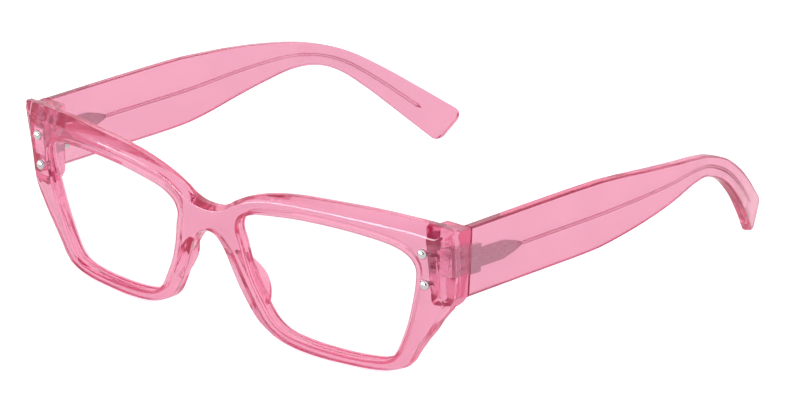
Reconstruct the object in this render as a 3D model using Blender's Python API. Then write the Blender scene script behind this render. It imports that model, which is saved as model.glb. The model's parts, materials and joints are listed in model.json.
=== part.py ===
"""Blue light glasses: a translucent acetate frame with two clear lenses and folding temples.

Every length below is in millimetres in the frame's own axes: X to the wearer's left, Y towards
the back of the head, Z up, with zero at the top of the seam between front and temple. The empty
"glasses" carries all parts and moves them so that the lower rims stand on Z = 0.
"""
import math

import bmesh
import bpy
from mathutils import Vector
from mathutils.geometry import tessellate_polygon

MM = 0.001

# Placing of the whole object
LIFT = 38.8
CENTRE_Y = 55.4

# Front
FACE_Y = -16.3
FACE_RADIUS = 278.0
FACE_LEAN = 0.114
FRONT_THICKNESS = 4.2
FACET_DEPTH = 1.8
REAR_CHAMFER = 0.9
RIM_CHAMFER = 0.9
HALF_WIDTH = 70.0
SEAM_BOTTOM = -17.4
SEAM_WIDTH = 69.0

# Lens and its groove
GROOVE_DEPTH = 0.9
GROOVE_FROM = 0.9
GROOVE_TO = 2.6
LENS_LAP = 0.5
LENS_FROM = 1.25
LENS_TO = 2.25

# Hinge
HINGE_X = 64.9
HINGE_Y = 1.9
HINGE_Z = -8.4
KNUCKLE_HEIGHT = 1.15
KNUCKLE_GAP = 0.3
KNUCKLE_COUNT = 5
BARREL_RADIUS = 1.5
BASE_LOW = (63.1, -2.7)
BASE_HIGH = (66.7, -1.9)
WEB_LOW = (66.8, 0.9)
WEB_HIGH = (69.1, 4.2)
POCKET_GAP = 0.3
POCKET_BACK_Y = 1.0
PIN_RADIUS = 0.55
PIN_HOLE_RADIUS = 0.85
GAP = 0.35

# Temple
TEMPLE_THICKNESS = 2.7
TEMPLE_X = 68.15
TEMPLE_LEAN = 0.058
TEMPLE_BEVEL = 0.5
TIP_ROUND = 2.0
WIRE_RADIUS = 0.5
WIRE_BORE_RADIUS = 0.85
WIRE_END_Y = 115.6
WIRE_BORE_END_Y = 118.2
WIRE_SIDES = 8
WIRE_POINT = 1.8

# Blade of the temple hinge: y and half height, then its tip
BLADE_STATIONS = [(3.6, 2.35), (8.0, 2.35), (12.2, 2.3), (16.0, 1.3)]
BLADE_TIP_Y = 18.6
BLADE_TIP_HEIGHT = 0.35
BLADE_DROP = 0.3
BLADE_HALF_THICKNESS = 0.5

# Rivets
RIVET_X = 62.9
RIVET_HEIGHTS = {"upper": -5.9, "lower": -13.6}
RIVET_HEAD_RADIUS = 1.25
RIVET_SHANK_RADIUS = 0.7
RIVET_BORE_RADIUS = 1.05
RIVET_LENGTH = 3.4
RIVET_DOME = 0.75

# Right half of the front's outline from the top of the bridge round to the nose arch.
# Each row is the edge of the front face (x, z) and the edge of the silhouette (x, z).
OUTLINE = [
    (0.0, -8.3, 0.0, -7.4),
    (3.2, -8.0, 3.2, -7.1),
    (6.4, -6.9, 6.2, -5.9),
    (9.5, -5.2, 9.0, -4.2),
    (14.0, -3.2, 13.2, -2.3),
    (20.0, -1.8, 19.5, -0.4),
    (27.5, -1.1, 27.0, 0.9),
    (37.0, -0.8, 37.0, 1.6),
    (49.0, -0.9, 49.5, 2.0),
    (60.0, -1.3, 62.0, 1.6),
    (66.7, -2.2, 70.0, 0.8),
    (66.7, -9.0, 69.6, -8.5),
    (66.6, -15.4, 69.0, -15.6),
    (66.3, -18.9, 67.3, -19.8),
    (64.2, -22.6, 64.6, -23.0),
    (62.3, -25.7, 62.6, -26.0),
    (59.9, -28.9, 60.1, -29.1),
    (57.3, -32.6, 57.5, -32.8),
    (56.3, -34.4, 56.4, -34.6),
    (54.2, -36.6, 54.3, -36.8),
    (50.8, -37.7, 50.8, -37.9),
    (45.5, -38.4, 45.5, -38.6),
    (38.5, -38.6, 38.5, -38.8),
    (32.0, -38.6, 32.0, -38.8),
    (25.5, -38.1, 25.5, -38.3),
    (20.5, -37.1, 20.4, -37.3),
    (16.6, -35.3, 16.6, -35.5),
    (13.8, -33.2, 14.2, -33.4),
    (11.9, -30.8, 12.7, -31.1),
    (10.0, -27.9, 11.1, -28.2),
    (8.4, -25.0, 9.6, -25.3),
    (6.8, -21.5, 7.9, -21.8),
    (5.6, -18.6, 6.4, -18.9),
    (4.6, -16.8, 5.1, -17.1),
    (3.3, -15.1, 3.5, -15.4),
    (1.9, -14.1, 1.9, -14.4),
    (0.0, -13.8, 0.0, -14.0),
]

NOSE_ROWS = 10

# Left lens opening, clockwise from its upper nasal corner (x, z).
OPENING = [
    (9.6, -11.6), (10.3, -9.1), (12.3, -7.4), (15.2, -6.2), (20.0, -5.3), (28.0, -4.4),
    (36.0, -4.1), (43.0, -4.2), (50.0, -4.7), (55.5, -5.6), (59.2, -7.4), (60.7, -10.2),
    (60.3, -14.0), (59.3, -18.2), (57.3, -24.6), (54.7, -30.5), (52.6, -33.9), (49.8, -35.5),
    (46.0, -36.1), (40.0, -36.4), (31.0, -36.2), (24.0, -35.4), (20.4, -34.2), (17.8, -32.2),
    (15.7, -29.0), (12.9, -23.8), (11.2, -18.6), (10.4, -14.6),
]

# Temple centre line: y, x, z and the temple's width across it.
TEMPLE_STATIONS = [
    (GAP, TEMPLE_X, -8.7, 17.4),
    (24.0, TEMPLE_X, -8.7, 17.4),
    (44.0, TEMPLE_X, -8.75, 17.1),
    (52.0, TEMPLE_X, -8.6, 15.8),
    (62.0, 68.2, -8.2, 13.2),
    (72.0, 67.6, -7.8, 10.2),
    (82.0, 65.9, -7.6, 6.9),
    (90.0, 63.9, -8.8, 5.3),
    (98.0, 62.0, -12.2, 5.6),
    (106.0, 59.2, -17.8, 6.8),
    (114.0, 55.4, -24.5, 8.3),
    (122.2, 50.9, -31.7, 9.8),
]

# Nose pad: height z, depth behind the rim and width across it.
PAD_SECTIONS = [(-17.6, 0.3, 2.2), (-19.2, 0.7, 2.8), (-21.4, 1.5, 3.3), (-23.6, 1.9, 3.4),
                (-25.8, 1.7, 3.3), (-27.8, 1.0, 2.9), (-29.3, 0.3, 2.2)]

ACETATE = (0.86, 0.27, 0.42, 1.0)
LENS_CLEAR = (0.93, 0.96, 1.0, 1.0)
STEEL = (0.62, 0.6, 0.6, 1.0)
WIRE_STEEL = (0.45, 0.38, 0.4, 1.0)


def clear_scene():
    """Remove whatever the file holds."""
    for item in list(bpy.data.objects):
        bpy.data.objects.remove(item, do_unlink=True)


def material(name, colour, roughness, metallic=0.0):
    """Return a Principled material of one finish."""
    result = bpy.data.materials.new(name)
    result.use_nodes = True
    shader = result.node_tree.nodes["Principled BSDF"]
    shader.inputs["Base Color"].default_value = colour
    shader.inputs["Roughness"].default_value = roughness
    shader.inputs["Metallic"].default_value = metallic
    return result


def empty(name, location, parent=None):
    """Return an empty at a location in millimetres within its parent."""
    result = bpy.data.objects.new(name, None)
    bpy.context.collection.objects.link(result)
    result.location = [value * MM for value in location]
    result.parent = parent
    return result


def make(name, mesh, finish, parent, side=1, origin=(0.0, 0.0, 0.0)):
    """Make an object of a bmesh in millimetres; side -1 mirrors it to the wearer's right."""
    if side < 0:
        for vert in mesh.verts:
            vert.co.x = -vert.co.x
    for vert in mesh.verts:
        vert.co = (vert.co - Vector(origin)) * MM
    bmesh.ops.recalc_face_normals(mesh, faces=mesh.faces)
    data = bpy.data.meshes.new(name)
    mesh.to_mesh(data)
    mesh.free()
    data.shade_smooth()
    data.set_sharp_from_angle(angle=math.radians(30))
    data.materials.append(finish)
    result = bpy.data.objects.new(name, data)
    bpy.context.collection.objects.link(result)
    result.parent = parent
    return result


def boolean(target, tool, operation):
    """Apply one exact Boolean to a target object and remove its tool."""
    modifier = target.modifiers.new(operation, "BOOLEAN")
    modifier.operation = operation
    modifier.object = tool
    modifier.solver = "EXACT"
    graph = bpy.context.evaluated_depsgraph_get()
    result = bpy.data.meshes.new_from_object(target.evaluated_get(graph), depsgraph=graph)
    target.modifiers.clear()
    target.data = result
    bpy.data.objects.remove(tool, do_unlink=True)


def loft(rings):
    """Return a closed bmesh through equal rings of points, capped at both ends."""
    mesh = bmesh.new()
    loops = [[mesh.verts.new(point) for point in ring] for ring in rings]
    for first, second in zip(loops, loops[1:]):
        for index in range(len(first)):
            after = (index + 1) % len(first)
            mesh.faces.new((first[index], first[after], second[after], second[index]))
    mesh.faces.new(loops[0])
    mesh.faces.new(loops[-1])
    return mesh


def prism(outline, bottom, top):
    """Extrude a plan outline of (x, y) points from one height to another."""
    return loft([[(x, y, z) for x, y in outline] for z in (bottom, top)])


def block(low, high):
    """Return a box between two corners."""
    plan = [(low[0], low[1]), (high[0], low[1]), (high[0], high[1]), (low[0], high[1])]
    return prism(plan, low[2], high[2])


def circle(centre_x, centre_y, radius, count=16):
    """Points of a circle in plan."""
    turns = [2 * math.pi * index / count for index in range(count)]
    return [(centre_x + radius * math.cos(a), centre_y + radius * math.sin(a)) for a in turns]


def face_y(x, z, depth=0.0):
    """Y of the curved, leaning front face, or of the layer a depth behind it."""
    return FACE_Y + x * x / (2 * FACE_RADIUS) - z * FACE_LEAN + depth


def offset_outline(points, distance):
    """Move a closed outline outwards by a distance along its corner normals."""
    moved = []
    count = len(points)
    area = sum(points[i - 1][0] * points[i][1] - points[i][0] * points[i - 1][1]
               for i in range(count))
    turn = 1.0 if area > 0 else -1.0
    for index, (x, z) in enumerate(points):
        before = Vector(points[index - 1])
        after = Vector(points[(index + 1) % count])
        here = Vector((x, z))
        ahead = (after - here).normalized()
        behind = (here - before).normalized()
        normals = [Vector((way.y, -way.x)) * turn for way in (ahead, behind)]
        corner = (normals[0] + normals[1]).normalized()
        reach = distance / max(corner.dot(normals[0]), 0.5)
        moved.append((x + corner.x * reach, z + corner.y * reach))
    return moved


def mirrored(points):
    """The same outline on the wearer's right, in the opposite order."""
    return [(-x, z) for x, z in reversed(points)]


def full_outline(pick):
    """Close the half outline, reading the front edge (pick 0) or the silhouette (pick 2)."""
    half = [(row[pick], row[pick + 1]) for row in OUTLINE]
    return half + mirrored(half[1:-1])


def square(outline, depth):
    """An outline moved square to the bent, leaning face as it goes a depth into the plate."""
    return [(x - depth * x / FACE_RADIUS, z + depth * FACE_LEAN) for x, z in outline]


def wall(mesh, profile):
    """Join layers of (outline, depth) into a strip and return its first and last loops."""
    loops = [[mesh.verts.new((x, face_y(x, z, depth), z)) for x, z in outline]
             for outline, depth in profile]
    for first, second in zip(loops, loops[1:]):
        for index in range(len(first)):
            after = (index + 1) % len(first)
            mesh.faces.new((first[index], first[after], second[after], second[index]))
    return loops[0], loops[-1]


def fill_with_holes(mesh, loops):
    """Fill the surface between an outer loop and its holes, seen from the front."""
    flat = [[Vector((vert.co.x, vert.co.z, 0.0)) for vert in loop] for loop in loops]
    verts = [vert for loop in loops for vert in loop]
    for triangle in tessellate_polygon(flat):
        mesh.faces.new([verts[index] for index in triangle])


def plate():
    """The front's bent plate with its brow facet, lens openings and lens grooves."""
    mesh = bmesh.new()
    silhouette = full_outline(2)
    rear = offset_outline(silhouette, -REAR_CHAMFER)
    outer = wall(mesh, [(full_outline(0), 0.0), (silhouette, FACET_DEPTH),
                        (silhouette, FRONT_THICKNESS - REAR_CHAMFER), (rear, FRONT_THICKNESS)])
    groove = offset_outline(OPENING, GROOVE_DEPTH)
    layers = [(OPENING, 0.0), (OPENING, GROOVE_FROM), (groove, GROOVE_FROM), (groove, GROOVE_TO),
              (OPENING, GROOVE_TO), (OPENING, FRONT_THICKNESS - RIM_CHAMFER),
              (offset_outline(OPENING, RIM_CHAMFER), FRONT_THICKNESS)]
    left = wall(mesh, [(square(outline, depth), depth) for outline, depth in layers])
    right = wall(mesh, [(mirrored(square(outline, depth)), depth) for outline, depth in layers])
    for layer in (0, 1):
        fill_with_holes(mesh, [outer[layer], left[layer], right[layer]])
    return mesh


def end_piece():
    """The block behind the plate that carries a hinge and meets the temple."""
    rings = []
    for y, inner, outer, bottom, top in ((-5.8, 61.6, 66.6, -19.4, -0.2),
                                         (-4.0, 61.8, 67.5, -19.4, -0.2),
                                         (-2.0, 62.0, 68.6, -18.8, -0.15),
                                         (-1.0, 62.1, 68.9, -18.3, -0.1),
                                         (0.0, 62.3, SEAM_WIDTH, SEAM_BOTTOM, 0.0)):
        rings.append([(inner, y, bottom + 0.8), (inner + 0.8, y, bottom),
                      (outer - 0.8, y, bottom), (outer, y, bottom + 0.8),
                      (HALF_WIDTH, y, top - 0.6), (HALF_WIDTH - 0.6, y, top),
                      (inner + 0.6, y, top), (inner, y, top - 0.6)])
    return loft(rings)


def hinge_levels():
    """Bottom and top height of each knuckle, from the lowest up."""
    pitch = KNUCKLE_HEIGHT + KNUCKLE_GAP
    lowest = HINGE_Z - (KNUCKLE_COUNT * pitch - KNUCKLE_GAP) / 2
    return [(lowest + index * pitch, lowest + index * pitch + KNUCKLE_HEIGHT)
            for index in range(KNUCKLE_COUNT)]


def hinge_base_box(clearance=0.0):
    """Corners of the front hinge's base in the end piece, or of its pocket."""
    levels = hinge_levels()
    low = (BASE_LOW[0] - clearance, BASE_LOW[1] - clearance, levels[0][0] - clearance)
    high = (BASE_HIGH[0] + clearance, BASE_HIGH[1] + clearance, levels[-1][1] + clearance)
    return low, high


def hinge_web_box(clearance=0.0):
    """Corners of the temple hinge's web at the butt of the temple, or of its notch."""
    levels = hinge_levels()
    low = (WEB_LOW[0] - clearance, WEB_LOW[1] - clearance, levels[0][0] - clearance)
    high = (WEB_HIGH[0] + clearance, WEB_HIGH[1] + clearance, levels[-1][1] + clearance)
    return low, high


def front_frame(parent, acetate):
    """The acetate front in one piece, pierced for hinges and rivets."""
    front = make("front_frame", plate(), acetate, parent)
    for side in (1, -1):
        boolean(front, make("tool", end_piece(), acetate, parent, side), "UNION")
    for side in (1, -1):
        low, high = hinge_base_box(POCKET_GAP)
        pocket = block(low, (high[0], POCKET_BACK_Y, high[2]))
        boolean(front, make("tool", pocket, acetate, parent, side), "DIFFERENCE")
        for height in RIVET_HEIGHTS.values():
            bore = rivet_bore(height)
            boolean(front, make("tool", bore, acetate, parent, side), "DIFFERENCE")
    return front


def lathe(profile, x, y, z, count=14):
    """Turn a profile of (radius, depth) about the Y direction at a point."""
    rings = []
    for radius, depth in profile:
        rings.append([(px, y + depth, pz) for px, pz in circle(x, z, radius, count)])
    return loft(rings)


def rivet_bore(height):
    """The blind bore that a rivet sits in."""
    start = face_y(RIVET_X, height)
    return lathe([(RIVET_BORE_RADIUS, -1.0), (RIVET_BORE_RADIUS, RIVET_LENGTH + 0.3)],
                 RIVET_X, start, height)


def rivet(height):
    """A rivet with a domed head standing on the front face."""
    start = face_y(RIVET_X, height) - GAP
    dome = [(RIVET_HEAD_RADIUS * math.cos(a), -RIVET_DOME * math.sin(a))
            for a in [math.radians(step) for step in (80, 55, 28, 0)]]
    shank = [(RIVET_SHANK_RADIUS, 0.0), (RIVET_SHANK_RADIUS, RIVET_LENGTH)]
    return lathe(dome + shank, RIVET_X, start, height)


def lens():
    """A lens that follows the front's curve and laps into the groove."""
    rim = offset_outline(OPENING, LENS_LAP)
    middle = Vector((sum(x for x, z in rim) / len(rim), sum(z for x, z in rim) / len(rim)))
    mesh = bmesh.new()
    edges = []
    for depth in (LENS_FROM, LENS_TO):
        loops = []
        for share in (1.0, 0.7, 0.36):
            ring = [middle + (Vector(point) - middle) * share for point in rim]
            loops.append([mesh.verts.new((x, face_y(x, z, depth), z))
                          for x, z in square(ring, depth)])
        for first, second in zip(loops, loops[1:]):
            for index in range(len(first)):
                after = (index + 1) % len(first)
                mesh.faces.new((first[index], first[after], second[after], second[index]))
        pole = mesh.verts.new((middle.x, face_y(middle.x, middle.y, depth), middle.y))
        for index in range(len(rim)):
            mesh.faces.new((loops[-1][index], loops[-1][(index + 1) % len(rim)], pole))
        edges.append(loops[0])
    for index in range(len(rim)):
        after = (index + 1) % len(rim)
        mesh.faces.new((edges[0][index], edges[0][after], edges[1][after], edges[1][index]))
    return mesh


def nose_edge(z):
    """X of the nose side of the rim at a height."""
    side = [(row[2], row[3]) for row in OUTLINE[-NOSE_ROWS:]]
    for (x1, z1), (x2, z2) in zip(side, side[1:]):
        if z1 <= z <= z2:
            return x1 + (x2 - x1) * (z - z1) / (z2 - z1)
    return side[0][0]


def nose_pad():
    """An acetate pad behind the nasal rim, flaring outwards towards the back."""
    rings = []
    for z, depth, width in PAD_SECTIONS:
        x = nose_edge(z) + REAR_CHAMFER
        y = face_y(x, z, FRONT_THICKNESS + 0.9)
        rings.append([(x, y, z), (x + 0.16 * width, y + 0.5 * depth, z),
                      (x + 0.45 * width, y + 0.9 * depth, z), (x + 0.75 * width, y + depth, z),
                      (x + 0.97 * width, y + 0.82 * depth, z), (x + width, y + 0.4 * depth, z),
                      (x + 0.9 * width, y, z)])
    return loft(rings)


def arm_outline(reach):
    """Plan of a knuckle: a round barrel on the axis with an arm of straight sides."""
    way = Vector((reach[0] - HINGE_X, reach[1] - HINGE_Y))
    heading = math.atan2(way.y, way.x)
    points = []
    for step in range(9):
        angle = heading + math.pi / 2 + math.pi * step / 8
        points.append((HINGE_X + BARREL_RADIUS * math.cos(angle),
                       HINGE_Y + BARREL_RADIUS * math.sin(angle)))
    across = Vector((-way.y, way.x)).normalized() * BARREL_RADIUS
    points.append((reach[0] - across.x, reach[1] - across.y))
    points.append((reach[0] + across.x, reach[1] + across.y))
    return points


def add_knuckles(target, finish, parent, side, origin, reach, turn):
    """Union every second knuckle onto a hinge half and bore it for the screw."""
    levels = hinge_levels()
    for bottom, top in levels[turn::2]:
        knuckle = prism(arm_outline(reach), bottom, top)
        boolean(target, make("tool", knuckle, finish, parent, side, origin), "UNION")
    bore = prism(circle(HINGE_X, HINGE_Y, PIN_HOLE_RADIUS), levels[0][0] - 1, levels[-1][1] + 1)
    boolean(target, make("tool", bore, finish, parent, side, origin), "DIFFERENCE")


def front_hinge(name, finish, parent, side):
    """Front half of a hinge: a base sunk in the end piece and three knuckles."""
    low, high = hinge_base_box()
    hinge = make(name, block(low, high), finish, parent, side)
    add_knuckles(hinge, finish, parent, side, (0, 0, 0), (HINGE_X, BASE_HIGH[1] - 0.3), 0)
    return hinge


def blade_rings(clearance=0.0):
    """Rings of the pointed blade, or of its slot when a clearance is given."""
    rings = []
    half = BLADE_HALF_THICKNESS + clearance
    for y, height in BLADE_STATIONS + [(BLADE_TIP_Y + clearance, BLADE_TIP_HEIGHT)]:
        tall = height + clearance
        z = HINGE_Z - BLADE_DROP * y / BLADE_TIP_Y
        rings.append([(TEMPLE_X - half, y, z - tall), (TEMPLE_X + half, y, z - tall),
                      (TEMPLE_X + half, y, z + tall), (TEMPLE_X - half, y, z + tall)])
    return rings


def temple_hinge(name, finish, parent, side, origin):
    """Temple half of a hinge: a web, two knuckles and the blade sunk in the temple."""
    low, high = hinge_web_box()
    hinge = make(name, block(low, high), finish, parent, side, origin)
    boolean(hinge, make("tool", loft(blade_rings()), finish, parent, side, origin), "UNION")
    add_knuckles(hinge, finish, parent, side, origin, (67.6, HINGE_Y + 0.6), 1)
    return hinge


def hinge_screw():
    """The screw on a hinge's axis, with its head over the top knuckle."""
    levels = hinge_levels()
    profile = [(PIN_RADIUS, levels[0][0] - 0.5), (PIN_RADIUS, levels[-1][1] + 0.3),
               (1.2, levels[-1][1] + 0.3), (1.2, levels[-1][1] + 0.7), (0.7, levels[-1][1] + 1.0)]
    return loft([[(x, y, z) for x, y in circle(HINGE_X, HINGE_Y, radius)]
                 for radius, z in profile])


def hermite(stations, y):
    """Read x, z and width at y from a smooth curve through the temple's stations."""
    for index in range(len(stations) - 1):
        if y <= stations[index + 1][0]:
            break
    first = stations[index]
    last = stations[index + 1]
    before = stations[max(index - 1, 0)]
    after = stations[min(index + 2, len(stations) - 1)]
    length = last[0] - first[0]
    t = (y - first[0]) / length
    values = []
    for k in (1, 2, 3):
        slope_in = (last[k] - before[k]) / (last[0] - before[0]) * length
        slope_out = (after[k] - first[k]) / (after[0] - first[0]) * length
        values.append((2 * t ** 3 - 3 * t ** 2 + 1) * first[k] + (t ** 3 - 2 * t ** 2 + t) * slope_in
                      + (3 * t ** 2 - 2 * t ** 3) * last[k] + (t ** 3 - t ** 2) * slope_out)
    return values


def temple_frame(y):
    """Centre, direction along the width, direction through the thickness, and width at y."""
    x, z, width = hermite(TEMPLE_STATIONS, y)
    step = 0.5
    low = max(y - step, TEMPLE_STATIONS[0][0])
    high = min(y + step, TEMPLE_STATIONS[-1][0])
    x1, z1, _ = hermite(TEMPLE_STATIONS, low)
    x2, z2, _ = hermite(TEMPLE_STATIONS, high)
    along = Vector((x2 - x1, high - low, z2 - z1)).normalized()
    inwards = TEMPLE_LEAN - along.z * along.x / along.y
    across = Vector((inwards, -along.z, along.y)).normalized()
    through = along.cross(across).normalized()
    return Vector((x, y, z)), along, across, through, width


def temple_ring(y, shrink=0.0, push=0.0):
    """Bevelled cross-section of the temple at y; shrink and push shape its rounded tip."""
    centre, along, across, through, width = temple_frame(y)
    centre = centre + along * push
    half_width = width / 2 - shrink
    half_thick = TEMPLE_THICKNESS / 2
    corners = [(half_width, half_thick - TEMPLE_BEVEL), (half_width - TEMPLE_BEVEL, half_thick),
               (TEMPLE_BEVEL - half_width, half_thick), (-half_width, half_thick - TEMPLE_BEVEL),
               (-half_width, TEMPLE_BEVEL - half_thick), (TEMPLE_BEVEL - half_width, -half_thick),
               (half_width - TEMPLE_BEVEL, -half_thick), (half_width, TEMPLE_BEVEL - half_thick)]
    return [centre + across * a + through * b for a, b in corners]


def temple_body():
    """The temple swept along its stations to a rounded tip."""
    start = TEMPLE_STATIONS[0][0]
    end = TEMPLE_STATIONS[-1][0]
    count = 34
    rings = [temple_ring(start + (end - start) * index / count) for index in range(count + 1)]
    for degrees in (30, 60, 80):
        angle = math.radians(degrees)
        rings.append(temple_ring(end, TIP_ROUND * (1 - math.cos(angle)),
                                 TIP_ROUND * math.sin(angle)))
    return loft(rings)


def wire_tube(radius, start, end, count, point=0.0):
    """A round bar along the temple's centre line, with an optional arrow point."""
    turns = [2 * math.pi * step / WIRE_SIDES for step in range(WIRE_SIDES)]
    rings = []
    for index in range(count + 1):
        centre, along, across, through, _ = temple_frame(start + (end - start) * index / count)
        rings.append([centre + (across * math.cos(a) + through * math.sin(a)) * radius
                      for a in turns])
    if point > 0:
        for reach, share in ((0.0, 1.25), (point, 0.25)):
            rings.append([centre + along * (reach + 0.05)
                          + (across * math.cos(a) + through * math.sin(a)) * radius * share
                          for a in turns])
    return loft(rings)


def temple(name, finish, parent, side, origin):
    """The acetate temple with its hinge notch, blade slot and wire bore."""
    part = make(name, temple_body(), finish, parent, side, origin)
    low, high = hinge_web_box(POCKET_GAP)
    notch = block((low[0] - 1.0, -1.0, low[2]), high)
    slot = loft(blade_rings(POCKET_GAP))
    bore = wire_tube(WIRE_BORE_RADIUS, BLADE_TIP_Y - 1.0, WIRE_BORE_END_Y, 30)
    for tool in (notch, slot, bore):
        boolean(part, make("tool", tool, finish, parent, side, origin), "DIFFERENCE")
    return part


def build():
    """Model the whole pair of glasses."""
    clear_scene()
    acetate = material("pink_acetate", ACETATE, 0.08)
    clear = material("clear_lens", LENS_CLEAR, 0.03)
    steel = material("polished_steel", STEEL, 0.2, 1.0)
    core = material("core_wire_steel", WIRE_STEEL, 0.3, 1.0)
    root = empty("glasses", (0.0, -CENTRE_Y, LIFT))
    front_frame(root, acetate)
    for side, word in ((1, "left"), (-1, "right")):
        axis = (side * HINGE_X, HINGE_Y, HINGE_Z)
        pivot = empty("hinge_axis_" + word, axis, root)
        make("lens_" + word, lens(), clear, root, side)
        make("nose_pad_" + word, nose_pad(), acetate, root, side)
        for level, height in RIVET_HEIGHTS.items():
            make("rivet_" + word + "_" + level, rivet(height), steel, root, side)
        front_hinge("front_hinge_" + word, steel, root, side)
        make("hinge_screw_" + word, hinge_screw(), steel, root, side)
        temple("temple_" + word, acetate, pivot, side, axis)
        temple_hinge("temple_hinge_" + word, steel, pivot, side, axis)
        wire = wire_tube(WIRE_RADIUS, BLADE_TIP_Y + 0.7, WIRE_END_Y, 28, WIRE_POINT)
        make("core_wire_" + word, wire, core, pivot, side, axis)


build()
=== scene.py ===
"""Blue light glasses: the looks of their pieces, which ride on the frame's bodies.

Lengths are in millimetres along the frame's axes, with zero at the top of the seam between the
front and a temple. OFFSET, read from the left hinge, brings them to the frame's metres.
"""
import json
import math

import bmesh
import bpy
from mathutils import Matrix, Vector
from mathutils.geometry import delaunay_2d_cdt


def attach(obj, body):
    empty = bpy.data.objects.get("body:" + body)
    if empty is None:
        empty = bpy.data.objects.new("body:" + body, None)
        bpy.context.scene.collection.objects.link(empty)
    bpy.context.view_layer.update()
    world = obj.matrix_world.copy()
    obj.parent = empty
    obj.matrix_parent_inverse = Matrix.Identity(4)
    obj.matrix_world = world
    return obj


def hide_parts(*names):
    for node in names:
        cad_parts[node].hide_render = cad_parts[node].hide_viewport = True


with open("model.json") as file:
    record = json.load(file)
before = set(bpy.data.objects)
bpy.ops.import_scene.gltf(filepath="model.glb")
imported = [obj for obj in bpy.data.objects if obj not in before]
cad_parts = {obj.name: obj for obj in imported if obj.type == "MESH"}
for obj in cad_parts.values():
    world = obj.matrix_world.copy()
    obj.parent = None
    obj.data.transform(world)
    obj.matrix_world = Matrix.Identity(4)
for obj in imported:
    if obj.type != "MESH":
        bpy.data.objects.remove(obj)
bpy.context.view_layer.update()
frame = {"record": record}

MM = 0.001

# Front
FACE_Y = -16.3
FACE_RADIUS = 278.0
FACE_LEAN = 0.114
FRONT_THICKNESS = 4.2
FACET_DEPTH = 1.8
REAR_ROUND = 0.9
RIM_CHAMFER = 0.9
HALF_WIDTH = 70.0
SEAM_BOTTOM = -17.4
SEAM_WIDTH = 69.0

# Lenses and the grooves that hold them: how far they go out into the rim, and the depths behind
# the front face that they lie between
GROOVE_DEPTH = 0.9
GROOVE_FROM = 0.9
GROOVE_TO = 2.6
LENS_LAP = 0.5
LENS_FROM = 1.25
LENS_TO = 2.25

# Hinges: two corners in plan of the front leaf's base and of the temple leaf's web, the places
# that the arms of a leaf reach to, and half length, half width, floor and roof of a screw's slot
HINGE_X = 64.9
HINGE_Y = 1.9
HINGE_Z = -8.4
KNUCKLE_HEIGHT = 1.15
KNUCKLE_GAP = 0.3
KNUCKLE_COUNT = 5
BARREL_RADIUS = 1.5
BASE_LOW = (63.1, -2.7)
BASE_HIGH = (66.7, -1.9)
BASE_REACH = (HINGE_X, -2.2)
WEB_LOW = (66.8, 0.9)
WEB_HIGH = (69.1, 4.2)
WEB_REACH = (67.6, 2.5)
PIN_HOLE_RADIUS = 0.6
SCREW_RADIUS = 0.53
SCREW_HEAD_RADIUS = 1.2
SCREW_SLOT = (1.5, 0.14, 0.7, 2.0)

# Temples, the blades sunk in them and their core wires
GAP = 0.35
TEMPLE_THICKNESS = 2.7
TEMPLE_X = 68.15
TEMPLE_LEAN = 0.058
TEMPLE_BEVEL = 0.5
TIP_ROUND = 2.0
BLADE_TIP_Y = 18.6
BLADE_DROP = 0.3
WIRE_RADIUS = 0.5
WIRE_START_Y = BLADE_TIP_Y + 0.2
WIRE_END_Y = 115.6

# Rivets
RIVET_X = 62.9
RIVET_HEIGHTS = {"upper": -5.9, "lower": -13.6}
RIVET_HEAD_RADIUS = 1.25
RIVET_STAND = 0.3
RIVET_DOME = 0.75
RIVET_SHANK_RADIUS = 0.7
RIVET_SHANK_DEPTH = 3.0

# Eased edges, with the brow's crease and upper edge as shares of its facet
EDGE = 0.22
CREASE = 0.4
CREASE_DEPTH = 0.22
CREASE_SHARE = 0.09
BROW_SHARE = 0.93
BROW_EASE = 0.12
CORNER_CUT = 0.35
TEMPLE_EASE = 0.12
HINGE_EASE = 0.08

# Fineness of the meshes, and the turn in degrees that shows as an edge
OUTLINE_STEP = 0.9
GRID_STEP = 2.4
LENS_RINGS = 9
ROUND_SIDES = 40
ARM_STEPS = 24
TEMPLE_RINGS = 150
WIRE_RINGS = 120
WIRE_SIDES = 20
PAD_CUTS = 4
PAD_STEPS = 12
SHARP = 35.0
FRONT_SHARP = 32.0

# Noise: the stretch of its values that a range of colours covers
NOISE_LOW = 0.35
NOISE_HIGH = 0.65

# Acetate: tint of each surface, colour that its depth absorbs to, and its faint milk
ACETATE_IOR = 1.49
ACETATE_DARK = (0.805, 0.485, 0.605, 1)
ACETATE_LIGHT = (0.835, 0.51, 0.63, 1)
ACETATE_SHADOW = (0.95, 0.75, 0.82, 1)
DEPTH_COLOUR = (0.93, 0.125, 0.475, 1)
DEPTH_DENSITY = 42.0
MILKINESS = 0.14
MILK_DARK = (0.90, 0.075, 0.235, 1)
MILK_LIGHT = (0.94, 0.095, 0.265, 1)

# Lens: a low index, because its coating leaves little to reflect
LENS_IOR = 1.12
LENS_DARK = (0.985, 0.99, 1.0, 1)
LENS_LIGHT = (0.995, 0.998, 1.0, 1)
LENS_SHADOW = (0.99, 0.99, 1.0, 1)

# White paper: its tone, and how much it is lifted where it is seen or seen through a clear piece
FLOOR_SIZE = 12.0
FLOOR_DROP = 0.0002
PAPER_DARK = (0.9, 0.9, 0.9, 1)
PAPER_LIGHT = (0.92, 0.92, 0.92, 1)
LIFT_SEEN = 0.6
LIFT_THROUGH = 0.2

# Studio: direction of the dark screen, cosines where it starts and is full, and its glow
DARK_SCREEN = (0.25, -0.95, 0.19)
SCREEN_START = 0.76
SCREEN_FULL = 0.9
SCREEN_GLOW = 0.06

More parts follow.
